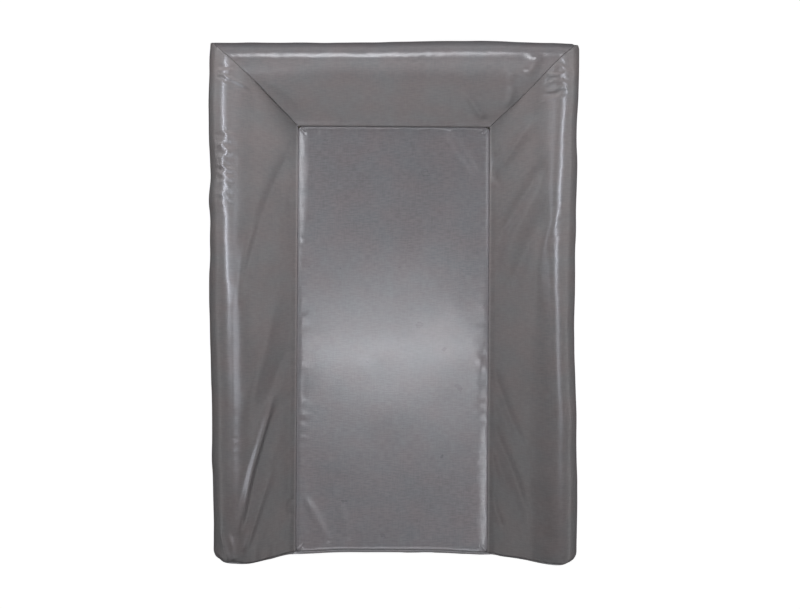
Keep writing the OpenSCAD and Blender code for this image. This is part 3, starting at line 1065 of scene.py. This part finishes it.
def cover_material(name, rough, weave=0.7, tint=1.0, coat=0.2, painted_light_at=None):
    """Plastic-coated woven cloth: a fine linen-like weave under a smooth, half-gloss skin, with a
    band of painted light along a seam where one is given.
    """
    m = Surface(name)
    cloth = m.add("UVMap", uv_map="cloth").outputs[0]
    u, v, _ = m.separate(cloth)
    # slightly wandering threads
    wander = m.about_zero(m.noise(cloth, (60, 60), detail=1.0), 0.0008)
    turn = 2 * math.pi / THREAD_PITCH
    wave_u = m.math("SINE", m.math("MULTIPLY", m.math("ADD", u, wander), turn))
    wave_v = m.math("SINE", m.math("MULTIPLY", m.math("SUBTRACT", v, wander), turn))
    grid = m.math("MULTIPLY", wave_u, wave_v)
    # slubs: short thick places, longer along the weft than along the warp
    weft = m.noise(cloth, (100, 640), detail=1.0)
    warp = m.noise(cloth, (480, 80), rough=0.6)
    slub = m.math("ADD", m.about_zero(weft, 1.0), m.about_zero(warp, 0.6))
    slub = m.remap(slub, -0.24, 0.26, to_low=-0.24, to_high=0.26)
    cloud = m.noise(cloth, (14, 14), detail=3.0, rough=0.55)
    blotch = m.noise(cloth, (70, 70))
    shade = m.math("ADD", 1.0, m.math("MULTIPLY", slub, 0.46 * weave))
    shade = m.math("ADD", shade, m.about_zero(cloud, 0.14))
    shade = m.math("ADD", shade, m.about_zero(blotch, 0.05))
    shade = m.math("ADD", shade, m.math("MULTIPLY", grid, 0.012 * weave))
    if painted_light_at is not None:
        # painted light: a band along the seam is lightened, lifting the dark shade of the seam's
        # groove
        away = m.math("ABSOLUTE", m.math("SUBTRACT", m.math("ABSOLUTE", u), painted_light_at))
        painted_seam_light = m.remap(away, 0.0005, 0.0035, to_low=0.50, to_high=0.0)
        shade = m.math("ADD", shade, painted_seam_light)
    warm, cool = (tuple(c * tint * k for c, k in zip(COVER_RGB, cast)) + (1,)
                  for cast in (WARM, COOL))
    mottle = m.remap(m.noise(cloth, (23, 31), detail=3.0), 0.3, 0.7)
    m.set("Base Color", m.scale(m.mix(mottle, warm, cool), shade))
    uneven = m.math("MULTIPLY", m.noise(cloth, (38, 38), detail=3.0), 0.06)
    m.set("Roughness", m.math("ADD", rough - 0.03, uneven))
    m.set("IOR", 1.47)
    height = m.math("ADD", m.math("MULTIPLY", grid, 0.16), m.math("MULTIPLY", slub, 1.0))
    woven = m.bump(height, strength=0.40 * weave, distance=0.00016)
    grain = m.noise(cloth, (1500, 1500))
    m.set("Normal", m.bump(grain, strength=0.12, distance=0.00008, normal=woven))
    m.set("Coat Weight", coat)
    m.set("Coat Roughness", 0.15)
    return m.mat


def foam_material():
    m = Surface("foam")
    coords = m.object_coords()
    cells = m.add("TexVoronoi")
    m.put(cells.inputs["Vector"], coords)
    m.put(cells.inputs["Scale"], 900.0)
    distance = cells.outputs["Distance"]
    cloud = m.noise(coords, scale=18.0, detail=4.0, rough=0.6, dims="3D")
    pores = m.remap(distance, 0.0, 0.6, to_low=0.72, to_high=1.04)
    shade = m.math("MULTIPLY", pores, m.remap(cloud, 0.3, 0.7, to_low=0.9, to_high=1.05))
    m.set("Base Color", m.scale((0.86, 0.80, 0.62), shade))
    m.set("Roughness", 0.95)
    m.set("Subsurface Weight", 0.15)
    m.set("Subsurface Radius", (0.004, 0.003, 0.002))
    m.set("Normal", m.bump(distance, strength=0.7, distance=0.0006))
    return m.mat


def wadding_material():
    """White fibres in two crossing directions."""
    m = Surface("wadding")
    coords = m.object_coords()
    along_y, along_x = (m.noise(coords, stretch, detail=5.0, rough=0.7, dims="3D")
                        for stretch in ((900, 160, 500), (140, 800, 500)))
    fibres = m.math("MAXIMUM", along_y, along_x)
    m.set("Base Color", m.mix(m.remap(fibres, 0.4, 0.75),
                              (0.62, 0.62, 0.60, 1), (0.93, 0.93, 0.91, 1)))
    m.set("Roughness", 0.9)
    m.set("Sheen Weight", 0.4)
    m.set("Normal", m.bump(fibres, strength=0.9, distance=0.0012))
    return m.mat


def thread_material():
    m = Surface("thread")
    coords = m.object_coords()
    x, y, z = m.separate(coords)
    slant = m.math("ADD", m.math("ADD", x, y), m.math("MULTIPLY", z, 1.7))
    twist = m.math("SINE", m.math("MULTIPLY", slant, 9000.0))
    cloud = m.noise(coords, scale=400.0, dims="3D")
    m.set("Base Color", m.mix(m.remap(m.math("ADD", twist, cloud), -1.0, 2.0),
                              (0.075, 0.068, 0.070, 1), (0.16, 0.148, 0.152, 1)))
    m.set("Roughness", 0.5)
    m.set("Sheen Weight", 0.25)
    m.set("Normal", m.bump(twist, strength=0.5, distance=0.0001))
    return m.mat


def floor_material():
    """A white table top that throws little light back up at the walls."""
    bounce = 0.42
    m = Surface("floor")
    cloud = m.noise(m.object_coords(), scale=3.0, dims="3D")
    camera_ray = m.add("LightPath").outputs["Is Camera Ray"]
    seen = m.mix(cloud, (0.55, 0.55, 0.55, 1), (0.58, 0.58, 0.58, 1))
    m.set("Base Color", m.mix(camera_ray, (bounce, bounce, bounce, 1), seen))
    m.set("Roughness", 0.9)
    m.set("Specular IOR Level", 0.0)
    m.set("Emission Color", (1, 1, 1, 1))
    m.set("Emission Strength", m.math("MULTIPLY", camera_ray, 0.955))
    return m.mat


# ---------------------------------------------------------------- cloth simulation
SIM_FRAMES = 16
CLOTH_SETTINGS = dict(
    quality=5, mass=0.15, air_damping=6.0,
    tension_stiffness=22.0, compression_stiffness=22.0, shear_stiffness=8.0,
    tension_damping=8.0, compression_damping=8.0, shear_damping=8.0, bending_damping=2.0,
    vertex_group_mass="hold", pin_stiffness=1.0, vertex_group_shrink="slack",
    shrink_min=0.0, use_pressure=True)


def weigh(obj, name, weights):
    """A vertex group with its weights rounded to fortieths."""
    group = obj.vertex_groups.new(name=name)
    steps = np.round(np.clip(weights.ravel(), 0, 1) * 40).astype(int)
    for step in np.unique(steps):
        group.add([int(v) for v in np.nonzero(steps == step)[0]], float(step) / 40.0, "REPLACE")


def set_cloth(obj, hold, slack, slack_max, pressure, bend):
    """A cloth modifier: sewn borders held, slack cloth in between, pushed out by the filling."""
    weigh(obj, "hold", hold)
    weigh(obj, "slack", slack)
    modifier = obj.modifiers.new("cloth", "CLOTH")
    settings = modifier.settings
    for key, value in CLOTH_SETTINGS.items():
        setattr(settings, key, value)
    settings.bending_stiffness = bend
    settings.shrink_max = -slack_max
    settings.uniform_pressure_force = pressure
    settings.effector_weights.gravity = 0.0
    modifier.collision_settings.use_collision = False
    modifier.collision_settings.use_self_collision = False
    modifier.point_cache.frame_start = 1
    modifier.point_cache.frame_end = SIM_FRAMES


def soften(grid):
    """Averages a grid of vectors with its neighbours, twice each way."""
    for _ in range(2):
        for axis in (0, 1):
            wide = np.pad(grid, [(1, 1) if a == axis else (0, 0) for a in range(3)], "edge")
            before, after = (wide[:-2], wide[2:]) if axis == 0 else (wide[:, :-2], wide[:, 2:])
            grid = 0.5 * grid + 0.25 * (before + after)
    return grid


def simulated_points(cover, out_cap, in_cap):
    """The simulated shape, with its departure from the start softened and capped."""
    obj, points = cover.obj, cover.points
    evaluated = obj.evaluated_get(bpy.context.evaluated_depsgraph_get())
    result = read_vectors(evaluated.to_mesh().vertices, "co").reshape(points.shape) * MM
    evaluated.to_mesh_clear()
    obj.modifiers.remove(obj.modifiers["cloth"])
    # a simulation that has blown up is left out
    if not np.isfinite(result).all():
        return points
    normals = grid_normals(points) * cover.grid_sign
    moved = soften(result - points)
    outward = (moved * normals).sum(2)
    slide = moved - outward[..., None] * normals
    cap = np.where(outward > 0, out_cap, in_cap)
    outward = cap * np.tanh(outward / cap)
    slid = np.linalg.norm(slide, axis=2) + 1e-9
    slide_cap = 1.2
    slide = slide * (slide_cap * np.tanh(slid / slide_cap) / slid)[..., None]
    return points + outward[..., None] * normals + slide


def held_edges(arc, dips):
    """Hold weights of a raised side: its inner and bottom seams and its two end seams."""
    hold = 1 - smooth(arc, 8.5, 15.0) * (1 - smooth(arc, SECTION_END - 26, SECTION_END - 15))
    return np.maximum(hold, (dips > 0.01).astype(float)[None, :])


def side_slack(arc, y, left):
    ridge = bump(arc, RIDGE_ARC + 2, 24)
    if left:
        slack = ridge * (0.75 * smooth(y, 50, 120) + 0.10) + 0.25 * smooth(-y, 120, 260)
    else:
        slack = (ridge * (0.70 * bump(y, 290, 36) + 0.30 * bump(y, 80, 60) + 0.10)
                 + 0.25 * smooth(-y, 60, 240))
    return np.clip(0.25 + slack, 0, 1)


def simulate():
    """Lets the five visible sheets settle over their filling."""
    for cover, (arc, y, dips), is_left in ((left, left_grid, True), (right, right_grid, False)):
        set_cloth(cover.obj, held_edges(arc, dips), side_slack(arc, y, is_left),
                  slack_max=0.030, pressure=3.0, bend=1.2)
    arc, x, dips = head_grid
    set_cloth(head.obj, held_edges(arc, dips), 0.25 + 0.35 * smooth(x, 90, 190),
              slack_max=0.030, pressure=3.0, bend=1.2)
    ring = np.ones(centre.points.shape[:2])
    ring[5:-5, 5:-5] = 0
    x, y = centre.points[..., 0], centre.points[..., 1]
    from_ends = np.minimum(HEAD_SEAM_Y - y, y - FOOT_Y - 5)
    from_edge = np.minimum(HALF_PANEL - np.abs(x), from_ends)
    set_cloth(centre.obj, ring, 0.25 + 0.75 * bump(from_edge, 8, 10),
              slack_max=0.014, pressure=1.5, bend=1.5)
    ring = np.zeros(foot.points.shape[:2])
    ring[:3] = ring[-3:] = 1
    ring[:, :7] = ring[:, -7:] = 1
    set_cloth(foot.obj, ring, np.full(ring.shape, 0.5), slack_max=0.020, pressure=2.0, bend=1.2)
    scene = bpy.context.scene
    for frame_number in range(1, SIM_FRAMES + 1):
        scene.frame_set(frame_number)
    # (cover, greatest move outwards, greatest move inwards)
    caps = ((left, 2.2, 2.2), (right, 2.2, 2.2), (head, 1.8, 1.8), (centre, 0.9, 0.8),
            (foot, 1.2, 1.2))
    for cover, out_cap, in_cap in caps:
        cover.points = simulated_points(cover, out_cap, in_cap)
    for cover, *_ in caps:
        write_points(cover.obj.data, cover.points)
        cover.obj.data.update()
        cover.obj.vertex_groups.clear()
    scene.frame_set(1)


# ---------------------------------------------------------------- build
def place(obj, material, node, slot):
    """Gives a piece its material and its place in the frame."""
    obj.data.materials.append(material)
    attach(obj, "root")
    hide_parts(node)


def finish_cover(cover, material, node, levels=1):
    """Gives a cover sheet its thickness, smoothing, material and place in the frame."""
    thickness = cover.obj.modifiers.new("fabric", "SOLIDIFY")
    thickness.thickness = FABRIC / MM
    thickness.offset = -1.0
    thickness.use_even_offset = False
    if levels:
        subdivision = cover.obj.modifiers.new("smooth", "SUBSURF")
        subdivision.levels = levels
        subdivision.render_levels = levels
        subdivision.uv_smooth = "PRESERVE_BOUNDARIES"
    place(cover.obj, material, node, "coated_fabric")


side_cloth = cover_material("cover_sides", rough=0.30)
# the slope cloth and the lying panel's cloth carry a band of painted light along their seams
slope_cloth = cover_material("cover_slopes", rough=0.30, painted_light_at=0.0115)
centre_cloth = cover_material("cover_lying_panel", rough=0.29, weave=1.0, tint=0.97, coat=0.08,
                              painted_light_at=PANEL_X / 1000)
under_cloth = cover_material("cover_underside", rough=0.40, tint=0.92)
foam = foam_material()
wadding = wadding_material()
thread = thread_material()

*left_shape, left_grid = build_side(True)
*right_shape, right_grid = build_side(False)
*head_shape, head_grid = build_head()
left = Cover("left_side_cover", *left_shape, outward=(-0.1, 0, 1))
right = Cover("right_side_cover", *right_shape, outward=(0.1, 0, 1))
head = Cover("head_cover", *head_shape, outward=(0, 0.1, 1))
centre = Cover("lying_panel_cover", *build_centre(), outward=(0, 0, 1))
foot = Cover("foot_end_cover", *build_foot(), outward=(0, -1, 0))
under = Cover("underside_cover", *build_under(), outward=(0, 0, -1))

simulate()

finish_cover(left, slope_cloth, "left_side_panel")
finish_cover(right, slope_cloth, "right_side_panel")
finish_cover(head, side_cloth, "head_panel")
finish_cover(centre, centre_cloth, "centre_panel")
finish_cover(foot, side_cloth, "foot_end_panel")
finish_cover(under, under_cloth, "underside_panel", levels=0)

# threads in the seams: (name, runs, frame node)
MITRE_COLUMN, FOOT_COLUMN = -2, 1
THREADS = (
    ("lying_panel_stitches", centre_runs(), "centre_seam_thread"),
    ("left_mitre_stitches", [edge_run(left, MITRE_COLUMN)], "left_mitre_thread"),
    ("right_mitre_stitches", [edge_run(right, MITRE_COLUMN)], "right_mitre_thread"),
    ("foot_end_stitches", [edge_run(cover, FOOT_COLUMN) for cover in (left, right)],
     "foot_seam_thread"),
    ("base_stitches", base_runs(), "base_seam_thread"),
)
stitched = {}
for name, runs, node in THREADS:
    stitched[name] = stitches(name, runs)
    place(stitched[name], thread, node, "thread")

# fillings: (name, frame node, slot, inset, voxel size, unevenness, seed)
FILLINGS = (
    ("base_foam_slab", "base_foam", "foam", 3.0, 5.0, 0.5, 81),
    ("lying_panel_foam", "centre_foam", "foam", 2.6, 4.0, 0.5, 82),
    ("lying_panel_wadding", "centre_wadding", "wadding", 0.9, 1.6, 0.25, 83),
    ("head_foam_wedge", "head_wedge_foam", "foam", 5.5, 5.0, 0.8, 84),
    ("left_foam_wedge", "left_wedge_foam", "foam", 5.5, 5.0, 0.8, 85),
    ("right_foam_wedge", "right_wedge_foam", "foam", 5.5, 5.0, 0.8, 86),
)
# for each slot, its material and how far it keeps below the cover sheets
FILLING_KINDS = {"foam": (foam, 2.0), "wadding": (wadding, 1.4)}
skins = []
for cover in (left, right, head, centre, foot, under):
    mesh = cover.obj.data
    skins.append(BVHTree.FromPolygons([tuple(v.co) for v in mesh.vertices],
                                      [tuple(p.vertices) for p in mesh.polygons]))
for name, node, slot, inset, voxel, wobble, seed in FILLINGS:
    material, gap = FILLING_KINDS[slot]
    block = filling(name, node, inset, voxel, wobble, seed)
    keep_under(block, skins, gap)
    place(block, material, node, slot)

# ---------------------------------------------------------------- stage
FLOOR_HALF, FLOOR_Z = 6, -0.0004
floor_mesh = bpy.data.meshes.new("floor")
floor_mesh.from_pydata([(sx * FLOOR_HALF, sy * FLOOR_HALF, FLOOR_Z) for sx, sy in
                        ((-1, -1), (1, -1), (1, 1), (-1, 1))], [], [(0, 1, 2, 3)])
floor = add_object("floor", floor_mesh)
floor_mesh.materials.append(floor_material())

# Every lamp shines only on the pieces listed under the first word of its name, so that it makes
# no glints elsewhere.
LIT = {
    "centre": [centre.obj, stitched["lying_panel_stitches"]],
    "left": [left.obj, stitched["left_mitre_stitches"], stitched["foot_end_stitches"]],
    "right": [right.obj, stitched["right_mitre_stitches"]],
    "head": [head.obj],
    "walls": [foot.obj, under.obj, stitched["base_stitches"]],
}
# (name, place, aim, (width, height) of the face, radiance). The "soft" lamps give matt light
# only and no reflections; the lamps named under SHEEN_ONLY give reflections only.
LAMPS = (
    ("centre_strip", (-0.01, -0.142, 1.185), (-0.01, -0.142, 0.0), (0.60, 0.07), 36.0),
    ("centre_far", (0.0, 1.6, 1.17), (0.0, 0.32, 0.09), (0.8, 0.3), 9.5),
    ("centre_left_head", (-0.86, 0.52, 1.18), (-0.13, 0.2, 0.03), (0.48, 0.56), 12.5),
    ("centre_right_foot", (0.80, -0.54, 1.18), (0.13, -0.25, 0.03), (0.46, 0.50), 8.5),
    ("centre_right_head", (0.9, 0.45, 1.18), (0.1, 0.2, 0.03), (0.50, 0.50), 5.0),
    ("centre_foot", (0.0, -1.6, 1.1), (0.0, -0.3, 0.03), (1.0, 0.8), 4.0),
    ("left_strip", (-0.70, 0.31, 1.18), (-0.24, 0.15, 0.09), (0.11, 0.62), 21.0),
    ("left_halo", (-0.58, 0.24, 1.18), (-0.24, 0.15, 0.09), (0.40, 0.66), 3.2),
    ("left_band", (-0.30, 0.04, 1.18), (-0.22, 0.0, 0.09), (0.9, 0.16), 4.0),
    ("left_fold", (0.20, -0.17, 1.18), (-0.18, -0.22, 0.06), (0.70, 0.30), 4.6),
    ("left_fold_head", (0.45, 0.30, 1.18), (-0.18, 0.1, 0.06), (0.30, 0.36), 2.4),
    ("right_strip", (0.66, 0.34, 1.18), (0.24, 0.15, 0.09), (0.11, 0.56), 18.5),
    ("right_halo", (0.62, 0.10, 1.18), (0.24, 0.1, 0.09), (0.34, 0.90), 3.2),
    ("right_fold", (-0.45, 0.30, 1.18), (0.18, 0.1, 0.06), (0.30, 0.60), 2.4),
    ("head_near", (-0.16, 0.74, 1.17), (0.0, 0.32, 0.09), (0.52, 0.10), 17.0),
    ("head_mid", (-0.14, 0.88, 1.17), (0.0, 0.32, 0.09), (0.58, 0.10), 14.0),
    ("head_far", (-0.05, 1.10, 1.17), (0.0, 0.32, 0.09), (0.8, 0.30), 10.0),
    ("head_patch", (-0.85, -1.30, 1.18), (0.19, 0.30, 0.08), (0.40, 0.60), 10.0),
    ("walls", (0.0, -1.6, 1.0), (0.0, -0.3, 0.05), (1.6, 0.8), 5.0),
    ("centre_soft", (0.0, 1.2, 1.0), (0.0, 0.1, 0.03), (0.8, 0.8), 0.3),
    ("left_soft", (0.15, 1.15, 0.90), (-0.19, 0.1, 0.06), (0.8, 0.8), 17.0),
    ("left_wall_soft", (-1.3, 0.9, 0.7), (-0.24, 0.1, 0.06), (0.8, 0.8), 6.5),
    ("right_soft", (-0.30, 0.90, 0.90), (0.19, 0.1, 0.06), (0.8, 0.8), 10.6),
    ("right_wall_soft", (1.3, 0.4, 0.7), (0.24, 0.1, 0.06), (0.8, 0.8), 6.6),
    ("head_soft", (0.0, -0.25, 1.1), (0.0, 0.3, 0.06), (0.8, 0.8), 6.4),
)
SHEEN_ONLY = ("left", "right", "head_patch", "centre_foot")
# the sheen is a shade cooler than the matt light
SOFT_TONE, SIDE_TONE, SHEEN_TONE = (1, 1, 1), (0.95, 1.0, 1.12), (0.978, 1.0, 1.05)


def facing(location, target):
    """Rotation of a lamp that looks at target, with its width along the pad's width."""
    z = np.array(location, float) - np.array(target, float)
    z /= np.linalg.norm(z)
    x = np.array([1.0, 0, 0]) - z[0] * z
    x /= np.linalg.norm(x)
    return Matrix(np.stack([x, np.cross(z, x), z], 1).tolist()).to_euler()


def add_lamp(name, location, target, size, radiance):
    soft = name.endswith("soft")
    light = bpy.data.lights.new(name, "AREA")
    light.shape = "RECTANGLE"
    light.size, light.size_y = size
    light.energy = radiance * math.pi * size[0] * size[1]
    if soft:
        light.color = SOFT_TONE
    else:
        light.color = SIDE_TONE if name.startswith(("left", "right")) else SHEEN_TONE
    lamp = add_object(name, light)
    lamp.location = location
    lamp.rotation_euler = facing(location, target)
    lamp.visible_glossy = not soft
    lamp.visible_diffuse = soft or not name.startswith(SHEEN_ONLY)
    group = bpy.data.collections.new(name + "_on")
    for obj in LIT[name.split("_")[0]]:
        group.objects.link(obj)
    lamp.light_linking.receiver_collection = group


for lamp_row in LAMPS:
    add_lamp(*lamp_row)

# a dim room, brighter near the horizon; plain white to the camera
SKY_HORIZON, SKY_MIDDLE, SKY_TOP = 0.86, 0.05, 0.05


def build_world():
    world = bpy.data.worlds.new("studio")
    bpy.context.scene.world = world
    world.use_nodes = True
    w = Tree(world.node_tree)
    elevation = w.separate(w.add("TexCoord").outputs["Generated"])[2]
    rise = w.remap(elevation, 0.15, 0.45, interpolation_type="SMOOTHSTEP")
    sky = w.math("MULTIPLY_ADD", rise, SKY_MIDDLE - SKY_HORIZON, SKY_HORIZON)
    rise = w.remap(elevation, 0.60, 0.90, interpolation_type="SMOOTHSTEP")
    sky = w.math("MULTIPLY_ADD", rise, SKY_TOP - SKY_MIDDLE, sky)
    camera_ray = w.add("LightPath").outputs["Is Camera Ray"]
    sky = w.math("MULTIPLY_ADD", camera_ray, w.math("SUBTRACT", 1.0, sky), sky)
    background = w.nodes["Background"]
    w.put(background.inputs["Strength"], sky)
    w.put(background.inputs["Color"], (1, 1, 1, 1))


def build_camera():
    """Looks straight down on the pad, with the head end at the top."""
    camera = bpy.data.cameras.new("camera")
    camera.sensor_width = 36.0
    camera.lens = 37.026
    camera.shift_x = 0.00875
    camera.shift_y = -0.007375
    camera.clip_start = 0.05
    obj = add_object("camera", camera)
    obj.location = (0, 0, 1.171)
    obj.rotation_euler = (0, 0, math.radians(0.34))
    bpy.context.scene.camera = obj


build_world()
build_camera()

view = bpy.context.scene.view_settings
view.view_transform = "Standard"
view.look = "None"
view.exposure = 0.0
view.gamma = 1.0
